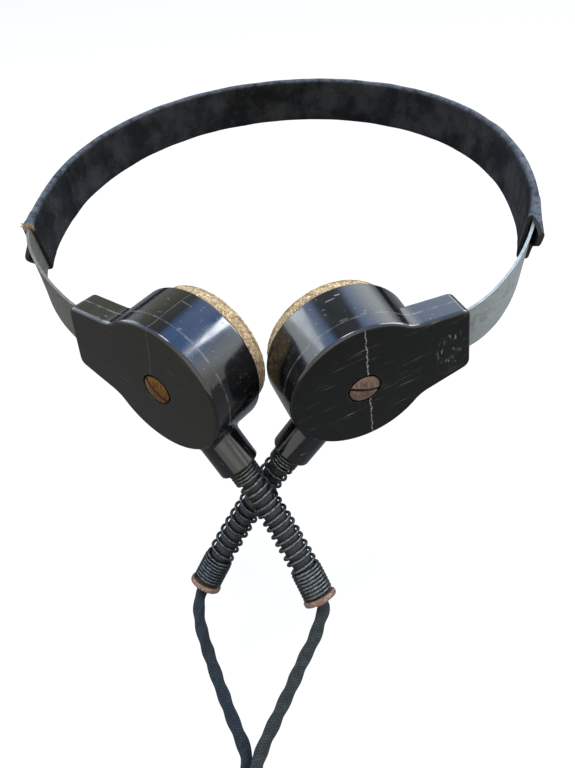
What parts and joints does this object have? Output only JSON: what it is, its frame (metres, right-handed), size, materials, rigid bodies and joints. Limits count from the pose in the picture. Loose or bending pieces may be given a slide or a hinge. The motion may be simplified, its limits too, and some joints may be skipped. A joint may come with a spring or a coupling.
{
  "type": "aviation headset",
  "caption": "Aviation headset with round receivers on a sprung steel headband in a leather sleeve, with coil-spring strain reliefs and a braided cord.",
  "frame": {"origin": "middle of the inner face of the headband's crown, where it rests on the head", "axes": "+X to the right-hand receiver, +Y out of the crown away from the receivers, +Z normal to the plane of the headband"},
  "size_m": [0.1901, 0.3254, 0.1619],
  "materials": {
    "bakelite": "polished black bakelite, scratched",
    "screw_brass": "tarnished bronze",
    "screw_copper": "tarnished copper brass",
    "brass": "machined",
    "magnet": "ground",
    "soft_iron": "plain",
    "coil": "enamelled copper wire, varnished",
    "diaphragm": "japanned sheet iron",
    "pad_cork": "granular cork and felt composition",
    "fibre": "vulcanised fibre",
    "spring_steel": "worn, dull",
    "spring_steel_right": "worn, dull grey",
    "spring_wire": "blackened wire, rubbed bright",
    "rubber_tube": "aged rubber",
    "copper_rust": "coppered steel, rusted",
    "braid": "woven textile braid, worn",
    "sleeve_leather": "worn leather, dark"
  },
  "bodies": {
    "headband": {"band_spring_centre": "spring_steel", "sleeve_centre": "sleeve_leather", "cord_junction": "rubber_tube", "trunk_cord": "braid", "left_cord": "braid", "right_cord": "braid"},
    "left_receiver": {"left_rear_cover": "bakelite", "left_front_case": "bakelite", "left_cover_screw": "screw_brass", "left_cover_insert": "brass", "left_magnet": "magnet", "left_pole_pieces": "soft_iron", "left_coils": "coil", "left_diaphragm": "diaphragm", "left_front_cap": "bakelite", "left_ear_pad": "pad_cork", "left_terminal_block": "fibre", "left_terminal_screws": "brass", "left_strip_rivets": "soft_iron", "left_spring_strip": "spring_steel", "left_cord_inlet": "braid", "sleeve_left": "sleeve_leather"},
    "left_strain_relief": {"left_relief_spring": "spring_wire", "left_relief_tube": "rubber_tube", "left_ferrule": "copper_rust", "left_cord_core": "braid"},
    "right_receiver": {"right_rear_cover": "bakelite", "right_front_case": "bakelite", "right_cover_screw": "screw_copper", "right_cover_insert": "brass", "right_magnet": "magnet", "right_pole_pieces": "soft_iron", "right_coils": "coil", "right_diaphragm": "diaphragm", "right_front_cap": "bakelite", "right_ear_pad": "pad_cork", "right_terminal_block": "fibre", "right_terminal_screws": "brass", "right_strip_rivets": "soft_iron", "right_spring_strip": "spring_steel_right", "right_cord_inlet": "braid", "sleeve_right": "sleeve_leather"},
    "right_strain_relief": {"right_relief_spring": "spring_wire", "right_relief_tube": "rubber_tube", "right_ferrule": "copper_rust", "right_cord_core": "braid"}
  },
  "joints": [
    {"name": "left_arm", "type": "hinge", "parent": "headband", "child": "left_receiver", "pos_m": [-0.044, -0.01, 0], "axis": [0, 0, -1], "range_deg": [0, 26], "stiffness_Nm_per_rad": 0.6},
    {"name": "right_arm", "type": "hinge", "parent": "headband", "child": "right_receiver", "pos_m": [0.045, -0.0084, 0], "axis": [0, 0, 1], "range_deg": [0, 26], "stiffness_Nm_per_rad": 0.6},
    {"name": "left_relief", "type": "hinge", "parent": "left_receiver", "child": "left_strain_relief", "pos_m": [-0.01532, -0.19201, -0.0422], "axis": [0.145, 0.763, -0.63], "range_deg": [-18, 18], "stiffness_Nm_per_rad": 0.25, "deforming": ["left_relief_spring", "left_relief_tube", "left_cord"]},
    {"name": "right_relief", "type": "hinge", "parent": "right_receiver", "child": "right_strain_relief", "pos_m": [0.00186, -0.18432, -0.04569], "axis": [0.145, 0.763, -0.63], "range_deg": [-18, 18], "stiffness_Nm_per_rad": 0.25, "deforming": ["right_relief_spring", "right_relief_tube", "right_cord"]}
  ]
}
